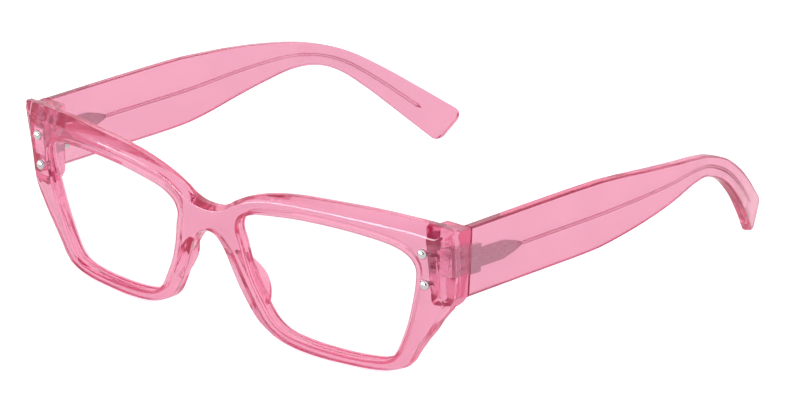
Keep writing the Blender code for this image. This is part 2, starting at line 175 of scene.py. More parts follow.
# Soft boxes: place and size in metres and power in watts
KEY_BOX = ((0.5, -0.5, 1.1), (0.9, 0.9), 1.2)
BACK_BOX = ((-0.6, 0.9, 0.9), (0.9, 0.9), 1.2)
GLINT_BOX = ((-0.32, -0.66, 0.14), (0.8, 0.22), 8.0)

# Camera: angles in degrees, its target in millimetres from the frame's own origin, its distance
# from there in metres, and the length of its lens in millimetres
AZIMUTH = 43.0
ELEVATION = 19.0
TARGET = (27.7, -33.7, 30.0)
DISTANCE = 1.485
LENS_LENGTH = 285.0

# Wearer's left half of the front's outline, from the top of the bridge round to the nose arch:
# edge of the front face (x, z), silhouette (x, z), and whether the outline turns a corner there
OUTLINE = [
    (0.0, -8.3, 0.0, -7.4, False),
    (3.2, -8.0, 3.2, -7.1, False),
    (6.4, -6.9, 6.2, -5.9, False),
    (9.5, -5.2, 9.0, -4.2, False),
    (14.0, -3.2, 13.2, -2.3, False),
    (20.0, -1.8, 19.5, -0.4, False),
    (27.5, -1.1, 27.0, 0.9, False),
    (37.0, -0.8, 37.0, 1.6, False),
    (49.0, -0.9, 49.5, 2.0, False),
    (60.0, -1.3, 62.0, 1.6, False),
    (66.7, -2.2, 70.0, 0.8, True),
    (66.7, -9.0, 69.6, -8.5, False),
    (66.6, -15.4, 69.0, -15.6, True),
    (66.3, -18.9, 67.3, -19.8, True),
    (64.2, -22.6, 64.6, -23.0, False),
    (62.3, -25.7, 62.6, -26.0, False),
    (59.9, -28.9, 60.1, -29.1, False),
    (57.3, -32.6, 57.5, -32.8, False),
    (56.3, -34.4, 56.4, -34.6, True),
    (54.2, -36.6, 54.3, -36.8, True),
    (50.8, -37.7, 50.8, -37.9, False),
    (45.5, -38.4, 45.5, -38.6, False),
    (38.5, -38.6, 38.5, -38.8, False),
    (32.0, -38.6, 32.0, -38.8, False),
    (25.5, -38.1, 25.5, -38.3, False),
    (20.5, -37.1, 20.4, -37.3, False),
    (16.6, -35.3, 16.6, -35.5, False),
    (13.8, -33.2, 14.2, -33.4, False),
    (11.9, -30.8, 12.7, -31.1, False),
    (10.0, -27.9, 11.1, -28.2, False),
    (8.4, -25.0, 9.6, -25.3, False),
    (6.8, -21.5, 7.9, -21.8, False),
    (5.6, -18.6, 6.4, -18.9, False),
    (4.6, -16.8, 5.1, -17.1, False),
    (3.3, -15.1, 3.5, -15.4, False),
    (1.9, -14.1, 1.9, -14.4, False),
    (0.0, -13.8, 0.0, -14.0, False),
]
# Rows at the end of OUTLINE that follow the nose side of the rim
NOSE_ROWS = 10

# Wearer's left lens opening (x, z), from its upper nasal corner outwards
OPENING = [
    (9.6, -11.6), (10.3, -9.1), (12.3, -7.4), (15.2, -6.2), (20.0, -5.3), (28.0, -4.4),
    (36.0, -4.1), (43.0, -4.2), (50.0, -4.7), (55.5, -5.6), (59.2, -7.4), (60.7, -10.2),
    (60.3, -14.0), (59.3, -18.2), (57.3, -24.6), (54.7, -30.5), (52.6, -33.9), (49.8, -35.5),
    (46.0, -36.1), (40.0, -36.4), (31.0, -36.2), (24.0, -35.4), (20.4, -34.2), (17.8, -32.2),
    (15.7, -29.0), (12.9, -23.8), (11.2, -18.6), (10.4, -14.6),
]

# Temple centre line: y, x, z and the temple's width across it
TEMPLE_STATIONS = [
    (GAP, TEMPLE_X, -8.7, 17.4),
    (24.0, TEMPLE_X, -8.7, 17.4),
    (44.0, TEMPLE_X, -8.75, 17.1),
    (52.0, TEMPLE_X, -8.6, 15.8),
    (62.0, 68.2, -8.2, 13.2),
    (72.0, 67.6, -7.8, 10.2),
    (82.0, 65.9, -7.6, 6.9),
    (90.0, 63.9, -8.8, 5.3),
    (98.0, 62.0, -12.2, 5.6),
    (106.0, 59.2, -17.8, 6.8),
    (114.0, 55.4, -24.5, 8.3),
    (122.2, 50.9, -31.7, 9.8),
]

# Nose pad: height z, depth behind the rim and width across it. Its root is sunk in the rim, its
# back laps the rim, and a share of its depth lifts it; PAD_ROOT is half the root as a share of width
PAD_SECTIONS = [(-17.6, 0.3, 2.2), (-19.2, 0.7, 2.8), (-21.4, 1.5, 3.3), (-23.6, 1.9, 3.4),
                (-25.8, 1.7, 3.3), (-27.8, 1.0, 2.9), (-29.3, 0.3, 2.2)]
PAD_SINK = 2.0
PAD_LAP = 0.3
PAD_LIFT = 0.6
PAD_ROOT = 0.42

# Blade of the temple leaf: y, half height and half thickness
BLADE_STATIONS = [(3.6, 2.35, 0.5), (8.0, 2.35, 0.5), (12.2, 2.3, 0.5), (14.0, 1.83, 0.5),
                  (16.0, 1.3, 0.5), (17.5, 0.75, 0.45), (BLADE_TIP_Y, 0.35, 0.3)]

# Arrow at a core wire's end: reach past the end and share of the wire's radius
WIRE_ARROW = [(0.02, 1.25), (0.25, 1.25), (1.8, 0.2)]

# End piece behind the plate: y, inner and outer x, bottom and top z
END_STATIONS = [(-5.8, 61.6, 66.6, -19.4, -0.2), (-4.0, 61.8, 67.5, -19.4, -0.2),
                (-3.0, 61.9, 68.1, -19.2, -0.2), (-2.0, 62.0, 68.6, -18.8, -0.15),
                (-1.0, 62.1, 68.9, -18.3, -0.1), (0.0, 62.3, SEAM_WIDTH, SEAM_BOTTOM, 0.0)]

hinge_joint = frame["record"]["behaviour"]["joints"][0]
OFFSET = Vector(hinge_joint["pos_m"]) - Vector((HINGE_X, HINGE_Y, HINGE_Z)) * MM


# ---------------------------------------------------------------- mesh helpers

def shade(data, angle=SHARP):
    """Shade a mesh smooth, with a crease wherever it turns by more than an angle in degrees."""
    data.shade_smooth()
    data.set_sharp_from_angle(angle=math.radians(angle))


def finish_mesh(name, mesh, finish, body, side=1):
    """Turn a bmesh into a piece in metres, mirrored where side is -1, that may ride on a body."""
    for vert in mesh.verts:
        x = vert.co.x * side
        vert.co = Vector((x, vert.co.y, vert.co.z)) * MM + OFFSET
    bmesh.ops.recalc_face_normals(mesh, faces=mesh.faces)
    data = bpy.data.meshes.new(name)
    mesh.to_mesh(data)
    mesh.free()
    shade(data)
    data.materials.append(finish)
    piece = bpy.data.objects.new(name, data)
    bpy.context.collection.objects.link(piece)
    if body:
        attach(piece, body)
    return piece


def boolean(target, tools, operation):
    """Apply exact Booleans to a target object and remove their tools."""
    for tool in tools:
        modifier = target.modifiers.new(operation, "BOOLEAN")
        modifier.operation = operation
        modifier.object = tool
        modifier.solver = "EXACT"
    graph = bpy.context.evaluated_depsgraph_get()
    result = bpy.data.meshes.new_from_object(target.evaluated_get(graph), depsgraph=graph)
    target.modifiers.clear()
    target.data = result
    for tool in tools:
        bpy.data.objects.remove(tool, do_unlink=True)


def soften(piece, width):
    """Round a piece's edges a little and weight its normals by face area."""
    bevel = piece.modifiers.new("soft_edges", "BEVEL")
    bevel.width = width * MM
    bevel.segments = 2
    bevel.limit_method = "ANGLE"
    bevel.angle_limit = math.radians(SHARP)
    weigh(piece)


def weigh(piece):
    """Keep large faces flat in shading beside small rounded edges."""
    normals = piece.modifiers.new("flat_faces", "WEIGHTED_NORMAL")
    normals.keep_sharp = True


def skin(mesh, first, second):
    """Join two equal loops of vertices with quads."""
    for index in range(len(first)):
        after = (index + 1) % len(first)
        mesh.faces.new((first[index], first[after], second[after], second[index]))


def loft(rings):
    """Return a closed bmesh through equal rings of points, capped at both ends."""
    mesh = bmesh.new()
    loops = [[mesh.verts.new(point) for point in ring] for ring in rings]
    for first, second in zip(loops, loops[1:]):
        skin(mesh, first, second)
    mesh.faces.new(loops[0])
    mesh.faces.new(loops[-1])
    return mesh


def full_turn(count):
    """Angles of evenly spaced steps round a circle."""
    return [2 * math.pi * index / count for index in range(count)]


def circle(centre_x, centre_y, radius):
    """Points of a circle in a plane."""
    turns = full_turn(ROUND_SIDES)
    return [(centre_x + radius * math.cos(a), centre_y + radius * math.sin(a)) for a in turns]


def prism(outline, bottom, top):
    """Extrude a plan outline of (x, y) points from one height to another."""
    return loft([[(x, y, z) for x, y in outline] for z in (bottom, top)])


def block(low, high):
    """Return a box between two corners."""
    plan = [(low[0], low[1]), (high[0], low[1]), (high[0], high[1]), (low[0], high[1])]
    return prism(plan, low[2], high[2])


def lathe(profile, x, y, z):
    """Turn a profile of (radius, depth) about the Y direction at a point."""
    rings = []
    for radius, depth in profile:
        rings.append([(px, y + depth, pz) for px, pz in circle(x, z, radius)])
    return loft(rings)


# ---------------------------------------------------------------- outlines

def face_y(x, z, depth=0.0):
    """Y of the curved, leaning front face, or of the layer a depth behind it."""
    return FACE_Y + x * x / (2 * FACE_RADIUS) - z * FACE_LEAN + depth


def curve_point(p0, p1, p2, p3, t):
    """Catmull-Rom point between p1 and p2 for tuples of any length."""
    return tuple(0.5 * (2 * b + (c - a) * t + (2 * a - 5 * b + 4 * c - d) * t * t
                        + (3 * b - a - 3 * c + d) * t ** 3)
                 for a, b, c, d in zip(p0, p1, p2, p3))


def smooth_loop(points, corners, step):
    """Refine a closed loop of tuples into a smooth curve that breaks at its corners."""
    count = len(points)
    refined = []
    for index in range(count):
        p0 = points[index - 1]
        p1 = points[index]
        p2 = points[(index + 1) % count]
        p3 = points[(index + 2) % count]
        if index in corners:
            p0 = tuple(2 * a - b for a, b in zip(p1, p2))
        if (index + 1) % count in corners:
            p3 = tuple(2 * a - b for a, b in zip(p2, p1))
        length = math.dist(p1[:2], p2[:2])
        cuts = max(2, round(length / step))
        if index not in corners:
            refined.append(p1)
        else:
            share = CORNER_CUT / length
            refined.append(tuple(a + (b - a) * share for a, b in zip(p1, p2)))
        for cut in range(1, cuts):
            refined.append(curve_point(p0, p1, p2, p3, cut / cuts))
        if (index + 1) % count in corners:
            share = CORNER_CUT / length
            refined.append(tuple(b + (a - b) * share for a, b in zip(p1, p2)))
    return refined


def mitre(first, second):
    """Direction that moves both neighbouring edges outwards by one unit."""
    middle = (first + second).normalized()
    return middle / max(middle.dot(first), 0.5)


def edge_normals(points):
    """Outward normal of each edge of a closed outline."""
    count = len(points)
    area = sum(points[i - 1][0] * points[i][1] - points[i][0] * points[i - 1][1]
               for i in range(count))
    turn = 1.0 if area > 0 else -1.0
    normals = []
    for index in range(count):
        way = (Vector(points[(index + 1) % count]) - Vector(points[index])).normalized()
        normals.append(Vector((way.y, -way.x)) * turn)
    return normals


def offset_outline(points, distance, corners=()):
    """Move a closed outline outwards, easing towards its sharp corners so that it never folds."""
    count = len(points)
    normals = edge_normals(points)
    pulls = []
    for corner in corners:
        near = min(range(count), key=lambda index: math.dist(points[index], corner))
        pulls.append((corner, mitre(normals[near - 2], normals[(near + 2) % count])))
    moved = []
    for index, point in enumerate(points):
        move = mitre(normals[index - 1], normals[index])
        for corner, pull in pulls:
            share = (math.dist(point, corner) - CORNER_CUT) / (3 * abs(distance))
            move = pull.lerp(move, min(max(share, 0.0), 1.0))
        moved.append((point[0] + move.x * distance, point[1] + move.y * distance))
    return moved


def mirrored(points):
    """The same outline on the wearer's right, in the opposite order."""
    return [(-x, z) for x, z in reversed(points)]


def front_loops():
    """Smooth closed loops of the front edge and of the silhouette."""
    other = [(-row[0], row[1], -row[2], row[3], row[4]) for row in reversed(OUTLINE[1:-1])]
    rows = OUTLINE + other
    points = [(row[2], row[3], row[0], row[1]) for row in rows]
    corners = {index for index, row in enumerate(rows) if row[4]}
    refined = smooth_loop(points, corners, OUTLINE_STEP)
    edge = [(point[2], point[3]) for point in refined]
    silhouette = [(point[0], point[1]) for point in refined]
    return edge, silhouette


def between(first, second, share):
    """Outline part of the way from one loop to another."""
    return [(a + (c - a) * share, b + (d - b) * share)
            for (a, b), (c, d) in zip(first, second)]


def square(outline, depth):
    """An outline moved square to the bent, leaning face as it goes a depth into the plate."""
    return [(x - depth * x / FACE_RADIUS, z + depth * FACE_LEAN) for x, z in outline]


def wall(mesh, profile):
    """Join layers of (outline, depth) into a strip and return its first and last loops."""
    loops = [[mesh.verts.new((x, face_y(x, z, depth), z)) for x, z in outline]
             for outline, depth in profile]
    for first, second in zip(loops, loops[1:]):
        skin(mesh, first, second)
    return loops[0], loops[-1]


def cap(mesh, loops, depth):
    """Fill the bent surface between an outer loop and its holes with even triangles."""
    outlines = [[Vector((vert.co.x, vert.co.z)) for vert in loop] for loop in loops]
    verts = [vert for loop in loops for vert in loop]
    points = [point for outline in outlines for point in outline]
    edges = []
    for outline in outlines:
        start = len(edges)
        count = len(outline)
        edges += [(start + index, start + (index + 1) % count) for index in range(count)]
    for point in grid_points(outlines):
        verts.append(mesh.verts.new((point.x, face_y(point.x, point.y, depth), point.y)))
        points.append(point)
    _, _, triangles, origins, _, _ = delaunay_2d_cdt(points, edges, [], 0, 1e-6)
    for triangle in triangles:
        corners = [origins[index][0] for index in triangle]
        middle = (points[corners[0]] + points[corners[1]] + points[corners[2]]) / 3
        if inside(middle, outlines):
            mesh.faces.new([verts[index] for index in corners])


def grid_points(outlines):
    """Points of an even grid inside the outer outline and clear of every outline."""
    found = []
    columns = round(HALF_WIDTH / GRID_STEP)
    for column in range(-columns, columns + 1):
        for row in range(-columns, columns + 1):
            point = Vector((column * GRID_STEP, row * GRID_STEP))
            if inside(point, outlines) and nearest(point, outlines) > OUTLINE_STEP:
                found.append(point)
    return found


def nearest(point, outlines):
    """Distance from a point to the nearest corner of any outline."""
    return min((point - corner).length for outline in outlines for corner in outline)


def inside(point, outlines):
    """True when a point lies within the outer outline and within none of its holes."""
    crossings = 0
    for outline in outlines:
        for first, last in zip(outline, outline[1:] + outline[:1]):
            if (first.y > point.y) != (last.y > point.y):
                share = (point.y - first.y) / (last.y - first.y)
                crossings += first.x + (last.x - first.x) * share > point.x
    return crossings % 2 == 1


# ---------------------------------------------------------------- front

def plate():
    """The front's bent plate with brow facet, openings and lens grooves, edges rounded."""
    mesh = bmesh.new()
    edge, silhouette = front_loops()
    sharp = [row for row in OUTLINE if row[4]]
    edge_corners = [(row[0] * side, row[1]) for row in sharp for side in (1, -1)]
    corners = [(row[2] * side, row[3]) for row in sharp for side in (1, -1)]
    near_edge = between(edge, silhouette, CREASE_SHARE)
    near_brow = between(edge, silhouette, BROW_SHARE)
    profile = [(offset_outline(edge, -CREASE, edge_corners), 0.0),
               (offset_outline(edge, -CREASE / 3, edge_corners), 0.06),
               (near_edge, CREASE_DEPTH), (near_brow, FACET_DEPTH * BROW_SHARE),
               (silhouette, FACET_DEPTH + BROW_EASE)]
    for degrees in (5, 25, 50, 75, 90):
        angle = math.radians(degrees)
        inset = REAR_ROUND * (1 - math.cos(angle))
        depth = FRONT_THICKNESS - REAR_ROUND * (1 - math.sin(angle))
        profile.append((offset_outline(silhouette, -inset, corners), depth))
    outer = wall(mesh, profile)
    opening = smooth_loop(OPENING, set(), OUTLINE_STEP)
    groove = offset_outline(opening, GROOVE_DEPTH)
    rear = FRONT_THICKNESS - RIM_CHAMFER
    layers = [(offset_outline(opening, EDGE), 0.0), (offset_outline(opening, 0.06), 0.04),
              (opening, 0.16), (opening, GROOVE_FROM), (groove, GROOVE_FROM + 0.1),
              (groove, GROOVE_TO - 0.1), (opening, GROOVE_TO), (opening, rear - 0.1),
              (offset_outline(opening, 0.1), rear + 0.1),
              (offset_outline(opening, RIM_CHAMFER - 0.15), FRONT_THICKNESS - 0.1),
              (offset_outline(opening, RIM_CHAMFER + 0.05), FRONT_THICKNESS)]
    left = wall(mesh, [(square(outline, depth), depth) for outline, depth in layers])
    right = wall(mesh, [(mirrored(square(outline, depth)), depth) for outline, depth in layers])
    cap(mesh, [outer[0], left[0], right[0]], 0.0)
    cap(mesh, [outer[1], left[1], right[1]], FRONT_THICKNESS)
    return mesh


def end_piece():
    """The block behind the plate that carries a hinge and meets the temple, its edges eased."""
    rings = []
    for y, inner, outer, bottom, top in END_STATIONS:
        rings.append([(inner, y, bottom + 0.8), (inner + 0.25, y, bottom + 0.25),
                      (inner + 0.8, y, bottom), (outer - 0.8, y, bottom),
                      (outer - 0.2, y, bottom + 0.2), (outer, y, bottom + 0.8),
                      (HALF_WIDTH, y, top - 0.6), (HALF_WIDTH - 0.15, y, top - 0.15),
                      (HALF_WIDTH - 0.6, y, top), (inner + 0.6, y, top),
                      (inner + 0.15, y, top - 0.15), (inner, y, top - 0.6)])
    return loft(rings)


def nose_edge(z):
    """X of the nose side of the rim at a height."""
    side = [(row[2], row[3]) for row in OUTLINE[-NOSE_ROWS:]]
    for (x1, z1), (x2, z2) in zip(side, side[1:]):
        if z1 <= z <= z2:
            return x1 + (x2 - x1) * (z - z1) / (z2 - z1)
    return side[0][0]


def nose_pad():
    """An acetate pad that swells out of the back of the nasal rim."""
    sections = []
    for index in range(len(PAD_SECTIONS) - 1):
        p0 = PAD_SECTIONS[max(index - 1, 0)]
        p1 = PAD_SECTIONS[index]
        p2 = PAD_SECTIONS[index + 1]
        p3 = PAD_SECTIONS[min(index + 2, len(PAD_SECTIONS) - 1)]
        for cut in range(PAD_CUTS):
            sections.append(curve_point(p0, p1, p2, p3, cut / PAD_CUTS))
    sections.append(PAD_SECTIONS[-1])
    rings = []
    for z, depth, width in sections:
        x = nose_edge(z) + REAR_ROUND
        y = face_y(x, z, FRONT_THICKNESS - PAD_LAP + depth * PAD_LIFT)
        middle = x + width / 2
        ring = []
        for step in range(PAD_STEPS + 1):
            angle = math.pi * step / PAD_STEPS
            ring.append((middle - width / 2 * math.cos(angle), y + depth * math.sin(angle), z))
        ring.append((middle + width * PAD_ROOT, y - PAD_SINK, z))
        ring.append((middle - width * PAD_ROOT, y - PAD_SINK, z))
        rings.append(ring)
    return loft(rings)


def front_piece(finish):
    """The acetate front with its end pieces and cemented nose pads in one clear body."""
    front = finish_mesh("front_acetate", plate(), finish, None)
    tools = []
    for side in (1, -1):
        tools.append(finish_mesh("tool", end_piece(), finish, None, side))
        tools.append(finish_mesh("tool", nose_pad(), finish, None, side))
    boolean(front, tools, "UNION")
    shade(front.data, FRONT_SHARP)
    weigh(front)
    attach(front, "front")
    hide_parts("front_frame", "nose_pad_left", "nose_pad_right")


def lens():
    """A lens that follows the front's curve and laps into the groove."""
    rim = offset_outline(smooth_loop(OPENING, set(), OUTLINE_STEP), LENS_LAP)
    middle = Vector((sum(x for x, z in rim) / len(rim), sum(z for x, z in rim) / len(rim)))
    mesh = bmesh.new()
    edges = []
    for depth in (LENS_FROM, LENS_TO):
        loops = []
        for step in range(LENS_RINGS):
            share = 1.0 - step / LENS_RINGS
            ring = [middle + (Vector(point) - middle) * share for point in rim]
            loops.append([mesh.verts.new((x, face_y(x, z, depth), z))
                          for x, z in square(ring, depth)])
        for first, second in zip(loops, loops[1:]):
            skin(mesh, first, second)
        pole = mesh.verts.new((middle.x, face_y(middle.x, middle.y, depth), middle.y))
        for index in range(len(rim)):
            mesh.faces.new((loops[-1][index], loops[-1][(index + 1) % len(rim)], pole))
        edges.append(loops[0])
    skin(mesh, edges[0], edges[1])
    return mesh


def rivet(height):
    """A rivet with a polished dome on a short collar."""
    start = face_y(RIVET_X, height)
    dome = [(RIVET_HEAD_RADIUS * math.cos(a), -RIVET_STAND - RIVET_DOME * math.sin(a))
            for a in [math.radians(step) for step in (88, 76, 62, 48, 34, 20, 8, 0)]]
    collar = [(RIVET_HEAD_RADIUS + 0.04, -0.2), (RIVET_HEAD_RADIUS, 0.02),
              (RIVET_SHANK_RADIUS, 0.1), (RIVET_SHANK_RADIUS, RIVET_SHANK_DEPTH)]
    return lathe(dome + collar, RIVET_X, start, height)


# ---------------------------------------------------------------- hinges

def hinge_levels():
    """Bottom and top height of each knuckle, from the lowest up."""
    pitch = KNUCKLE_HEIGHT + KNUCKLE_GAP
    lowest = HINGE_Z - (KNUCKLE_COUNT * pitch - KNUCKLE_GAP) / 2
    return [(lowest + index * pitch, lowest + index * pitch + KNUCKLE_HEIGHT)
            for index in range(KNUCKLE_COUNT)]


def arm_outline(reach):
    """Plan of a knuckle: a round barrel on the axis with an arm of straight sides."""
    way = Vector((reach[0] - HINGE_X, reach[1] - HINGE_Y))
    heading = math.atan2(way.y, way.x)
    points = []
    for step in range(ARM_STEPS + 1):
        angle = heading + math.pi / 2 + math.pi * step / ARM_STEPS
        points.append((HINGE_X + BARREL_RADIUS * math.cos(angle),
                       HINGE_Y + BARREL_RADIUS * math.sin(angle)))
    across = Vector((-way.y, way.x)).normalized() * BARREL_RADIUS
    points.append((reach[0] - across.x, reach[1] - across.y))
    points.append((reach[0] + across.x, reach[1] + across.y))
    return points


def hinge_half(name, core, extra, reach, turn, finish, body, side, node):
    """Join a hinge half's solids with every second knuckle, and bore it for the screw."""
    levels = hinge_levels()
    half = finish_mesh(name, core, finish, None, side)
    tools = [finish_mesh("tool", mesh, finish, None, side) for mesh in extra]
    for bottom, top in levels[turn::2]:
        knuckle = prism(arm_outline(reach), bottom, top)
        tools.append(finish_mesh("tool", knuckle, finish, None, side))
    boolean(half, tools, "UNION")
    bore = prism(circle(HINGE_X, HINGE_Y, PIN_HOLE_RADIUS), levels[0][0] - 1, levels[-1][1] + 1)
    boolean(half, [finish_mesh("tool", bore, finish, None, side)], "DIFFERENCE")
    shade(half.data)
    soften(half, HINGE_EASE)
    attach(half, body)
    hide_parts(node)


def front_base():
    """The base of the front half of a hinge, sunk in the end piece."""
    levels = hinge_levels()
    return block((*BASE_LOW, levels[0][0]), (*BASE_HIGH, levels[-1][1]))


def temple_web():
    """The web of the temple half of a hinge at the butt of the temple."""
    levels = hinge_levels()
    return block((*WEB_LOW, levels[0][0]), (*WEB_HIGH, levels[-1][1]))


def blade():
    """The pointed blade that is sunk in the temple."""
    rings = []
    for y, tall, half in BLADE_STATIONS:
        z = HINGE_Z - BLADE_DROP * y / BLADE_TIP_Y
        rings.append([(TEMPLE_X - half, y, z - tall), (TEMPLE_X + half, y, z - tall),
                      (TEMPLE_X + half, y, z + tall), (TEMPLE_X - half, y, z + tall)])
    return loft(rings)


def hinge_screw():
    """The screw on a hinge's axis with a domed, slotted head."""
    levels = hinge_levels()
    top = levels[-1][1]
    profile = [(0.3, levels[0][0] - 0.5), (SCREW_RADIUS, levels[0][0] - 0.35),
               (SCREW_RADIUS, top + 0.3), (SCREW_HEAD_RADIUS - 0.1, top + 0.3),
               (SCREW_HEAD_RADIUS, top + 0.38), (SCREW_HEAD_RADIUS, top + 0.66),
               (SCREW_HEAD_RADIUS - 0.15, top + 0.84), (SCREW_HEAD_RADIUS - 0.5, top + 0.98)]
    return loft([[(x, y, z) for x, y in circle(HINGE_X, HINGE_Y, radius)]
                 for radius, z in profile])


def screw_slot():
    """The driver slot across a hinge screw's head."""
    top = hinge_levels()[-1][1]
    half_length, half_width, floor, roof = SCREW_SLOT
    return block((HINGE_X - half_length, HINGE_Y - half_width, top + floor),
                 (HINGE_X + half_length, HINGE_Y + half_width, top + roof))


# ---------------------------------------------------------------- temples

def hermite(stations, y):
    """Read x, z and width at y from a smooth curve through the temple's stations."""
    for index in range(len(stations) - 1):
        if y <= stations[index + 1][0]:
            break
    first = stations[index]
    last = stations[index + 1]
    before = stations[max(index - 1, 0)]
    after = stations[min(index + 2, len(stations) - 1)]
    length = last[0] - first[0]
    t = (y - first[0]) / length
    values = []
    for k in (1, 2, 3):
        slope_in = (last[k] - before[k]) / (last[0] - before[0]) * length
        slope_out = (after[k] - first[k]) / (after[0] - first[0]) * length
        values.append((2 * t ** 3 - 3 * t ** 2 + 1) * first[k]
                      + (t ** 3 - 2 * t ** 2 + t) * slope_in
                      + (3 * t ** 2 - 2 * t ** 3) * last[k] + (t ** 3 - t ** 2) * slope_out)
    return values


def temple_frame(y):
    """Centre, direction along, across the width and through the thickness, and width at y."""
    x, z, width = hermite(TEMPLE_STATIONS, y)
    step = 0.5
    low = max(y - step, TEMPLE_STATIONS[0][0])
    high = min(y + step, TEMPLE_STATIONS[-1][0])
    x1, z1, _ = hermite(TEMPLE_STATIONS, low)
    x2, z2, _ = hermite(TEMPLE_STATIONS, high)
    along = Vector((x2 - x1, high - low, z2 - z1)).normalized()
    inwards = TEMPLE_LEAN - along.z * along.x / along.y
    across = Vector((inwards, -along.z, along.y)).normalized()
    through = along.cross(across).normalized()
    return Vector((x, y, z)), along, across, through, width


def temple_ring(y, shrink=0.0, push=0.0, thin=0.0):
    """Bevelled cross-section of the temple at y, made smaller or pushed along where asked."""
    centre, along, across, through, width = temple_frame(y)
    centre = centre + along * push
    half_width = width / 2 - shrink
    half_thick = TEMPLE_THICKNESS / 2 - thin
    side = half_width - TEMPLE_BEVEL
    face = half_thick - TEMPLE_BEVEL
    quarter = [(half_width, face - TEMPLE_EASE), (half_width - TEMPLE_EASE, face + TEMPLE_EASE),
               (side + TEMPLE_EASE, half_thick - TEMPLE_EASE), (side - TEMPLE_EASE, half_thick)]
    corners = quarter + [(-a, b) for a, b in reversed(quarter)]
    corners += [(-a, -b) for a, b in quarter] + [(a, -b) for a, b in reversed(quarter)]
    return [centre + across * a + through * b for a, b in corners]


def temple_body():
    """The temple swept along its stations to a rounded tip."""
    start = TEMPLE_STATIONS[0][0]
    end = TEMPLE_STATIONS[-1][0]
    rings = [temple_ring(start, shrink=EDGE, thin=EDGE), temple_ring(start + EDGE)]
    for index in range(1, TEMPLE_RINGS + 1):
        rings.append(temple_ring(start + EDGE + (end - start - EDGE) * index / TEMPLE_RINGS))
    for degrees in (15, 30, 45, 60, 75):
        angle = math.radians(degrees)
        rings.append(temple_ring(end, shrink=TIP_ROUND * (1 - math.cos(angle)),
                                 push=TIP_ROUND * math.sin(angle)))
    rings.append(temple_ring(end, shrink=TIP_ROUND, push=TIP_ROUND * 0.99, thin=0.25))
    return loft(rings)


def core_wire():
    """The steel core along the temple's centre line, from the blade to its arrow point."""
    turns = full_turn(WIRE_SIDES)
    rings = []
    for index in range(WIRE_RINGS + 1):
        y = WIRE_START_Y + (WIRE_END_Y - WIRE_START_Y) * index / WIRE_RINGS
        centre, along, across, through, _ = temple_frame(y)
        rings.append([centre + (across * math.cos(a) + through * math.sin(a)) * WIRE_RADIUS
                      for a in turns])
    for reach, share in WIRE_ARROW:
        rings.append([centre + along * reach
                      + (across * math.cos(a) + through * math.sin(a)) * WIRE_RADIUS * share
                      for a in turns])
    return loft(rings)


# ---------------------------------------------------------------- materials

def new_material(name):
    """A node material, its Principled shader and its node tree."""
    result = bpy.data.materials.new(name)
    result.use_nodes = True
    return result, result.node_tree.nodes["Principled BSDF"], result.node_tree


def noise(tree, scale, detail=2.0, stretch=(1, 1, 1)):
    """Noise in object space at a scale in features per metre, stretched along its axes."""
    where = tree.nodes.new("ShaderNodeTexCoord")
    mapping = tree.nodes.new("ShaderNodeMapping")
    mapping.inputs["Scale"].default_value = stretch
    texture = tree.nodes.new("ShaderNodeTexNoise")
    texture.inputs["Scale"].default_value = scale
    texture.inputs["Detail"].default_value = detail
    tree.links.new(where.outputs["Object"], mapping.inputs["Vector"])
    tree.links.new(mapping.outputs["Vector"], texture.inputs["Vector"])
    return texture.outputs["Fac"]


def ramp(tree, source, low, high):
    """Map the middle of a noise's values to a range of colours."""
    node = tree.nodes.new("ShaderNodeValToRGB")
    node.color_ramp.elements[0].position = NOISE_LOW
    node.color_ramp.elements[0].color = low
    node.color_ramp.elements[1].position = NOISE_HIGH
    node.color_ramp.elements[1].color = high
    tree.links.new(source, node.inputs["Fac"])
    return node.outputs["Color"]


def spread(tree, source, low, high):
    """Map a value from 0..1 to a range of numbers."""
    node = tree.nodes.new("ShaderNodeMapRange")
    node.inputs["To Min"].default_value = low
    node.inputs["To Max"].default_value = high
    tree.links.new(source, node.inputs["Value"])
    return node.outputs["Result"]


def bump(tree, shader, source, height, strength):
    """Raise a surface by a height in metres, at a strength."""
    node = tree.nodes.new("ShaderNodeBump")
    node.inputs["Distance"].default_value = height
    node.inputs["Strength"].default_value = strength
    tree.links.new(source, node.inputs["Height"])
    tree.links.new(node.outputs["Normal"], shader.inputs["Normal"])


def let_light_through(tree, surface, tint):
    """Let lamp light pass a clear material with a tint instead of casting a hard shadow."""
    output = tree.nodes["Material Output"]
    mix = tree.nodes.new("ShaderNodeMixShader")
    passing = tree.nodes.new("ShaderNodeBsdfTransparent")
    passing.inputs["Color"].default_value = tint
    path = tree.nodes.new("ShaderNodeLightPath")
    tree.links.new(path.outputs["Is Shadow Ray"], mix.inputs["Fac"])
    tree.links.new(surface.outputs[0], mix.inputs[1])
    tree.links.new(passing.outputs["BSDF"], mix.inputs[2])
    tree.links.new(mix.outputs["Shader"], output.inputs["Surface"])


